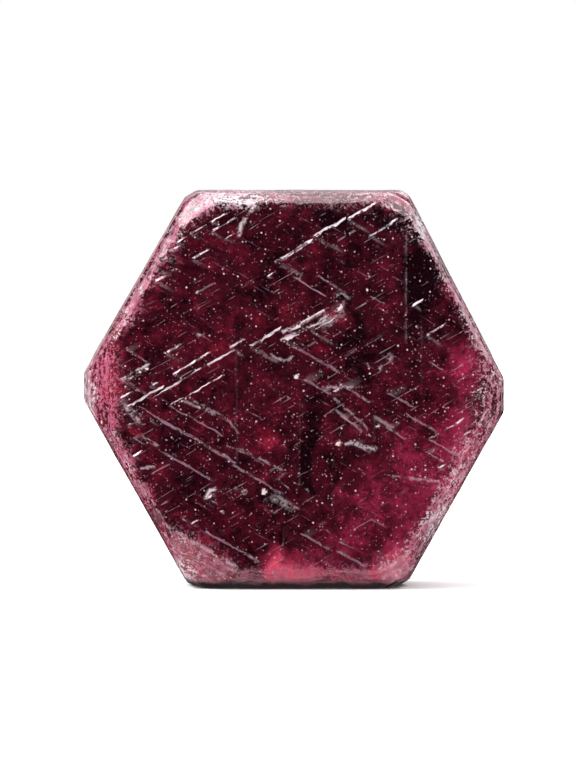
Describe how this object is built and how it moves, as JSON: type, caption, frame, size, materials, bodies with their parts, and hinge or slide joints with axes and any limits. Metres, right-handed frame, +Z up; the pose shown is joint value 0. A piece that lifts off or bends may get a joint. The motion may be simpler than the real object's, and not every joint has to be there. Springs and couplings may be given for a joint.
{
  "type": "raw ruby crystal",
  "caption": "Raw ruby crystal: a thick six-sided tablet with triangular growth plates on its broad faces, standing on one side face.",
  "frame": {"origin": "in the resting plane, under the middle of the crystal's bounding box", "axes": "+Z up from the side face that the crystal stands on; -Y is the front broad face, so the crystal's own long axis is along Y; +X to the right as seen from the front, from corner to corner"},
  "size_m": [0.0379, 0.022, 0.0355],
  "materials": {
    "ruby": "natural crystal faces, dark red and partly clear, glossy on the growth plates and frosted on the worn bevels"
  },
  "bodies": {
    "root": {"ruby_crystal": "ruby"}
  },
  "joints": []
}
